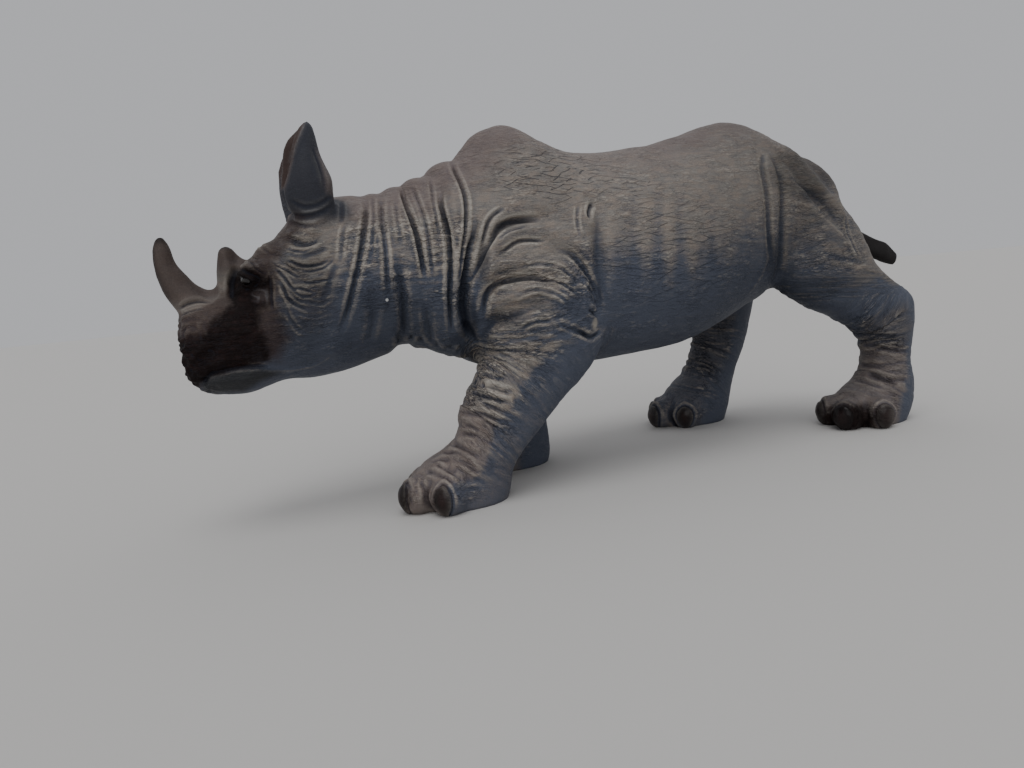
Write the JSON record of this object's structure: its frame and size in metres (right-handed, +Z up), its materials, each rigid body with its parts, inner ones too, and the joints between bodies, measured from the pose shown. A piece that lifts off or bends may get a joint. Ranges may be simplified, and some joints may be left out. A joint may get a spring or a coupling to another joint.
{
  "type": "rhinoceros figurine",
  "caption": "Walking rhinoceros cast in one piece, head lowered, with nose horns, pricked ears, folded hide, knobbly legs and a short tail, standing on its own flat soles.",
  "frame": {"origin": "centre of the figure's outline seen from above, on the plane of its soles", "axes": "+X from the head to the tail, +Y from the left flank to the right flank, +Z up"},
  "size_m": [0.298, 0.0894, 0.125],
  "materials": {
    "painted_hide": "matte paint, dry-brushed over the folds"
  },
  "bodies": {
    "root": {"rhinoceros": "painted_hide"}
  },
  "joints": []
}
